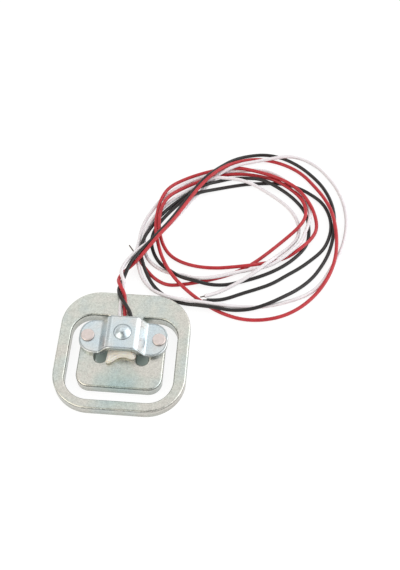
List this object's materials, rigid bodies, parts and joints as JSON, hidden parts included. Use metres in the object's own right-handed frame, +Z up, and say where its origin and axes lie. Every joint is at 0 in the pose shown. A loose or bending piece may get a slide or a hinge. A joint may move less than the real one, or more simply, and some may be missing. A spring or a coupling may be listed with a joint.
{
  "type": "weighing load cell",
  "caption": "Square stamped steel weighing load cell with a slotted spring plate, riveted load bridge with a domed load point, silicone-coated strain gauge and loose coiled wires.",
  "frame": {"origin": "centre of the plate's underside, which rests on z = 0", "axes": "+Z up through the load dome, +Y towards the rear edge where the wires leave, +X to the right"},
  "size_m": [0.0758, 0.0875, 0.0083],
  "materials": {
    "zinc_plate": "bright zinc plate, faintly iridescent",
    "zinc_bridge": "bright zinc plate, slightly blue",
    "rivet_steel": "polished, faintly pink",
    "gauge_film": "amber film",
    "gauge_foil": "etched foil",
    "silicone": "cream, soft gloss",
    "bare_copper": "tinned stranded copper",
    "solder": "bright solder",
    "red_insulation": "satin PVC",
    "black_insulation": "satin PVC",
    "white_insulation": "satin PVC"
  },
  "bodies": {
    "root": {"spring_plate": "zinc_plate", "load_bridge": "zinc_bridge", "rivets": "rivet_steel", "gauge_carrier": "gauge_film", "gauge_foil": "gauge_foil", "silicone_coat": "silicone", "red_core": "bare_copper", "red_solder": "solder", "red_wire": "red_insulation", "red_wire_tip": "bare_copper", "black_core": "bare_copper", "black_solder": "solder", "black_wire": "black_insulation", "black_wire_tip": "bare_copper", "white_core": "bare_copper", "white_solder": "solder", "white_wire": "white_insulation", "white_wire_tip": "bare_copper"}
  },
  "joints": []
}
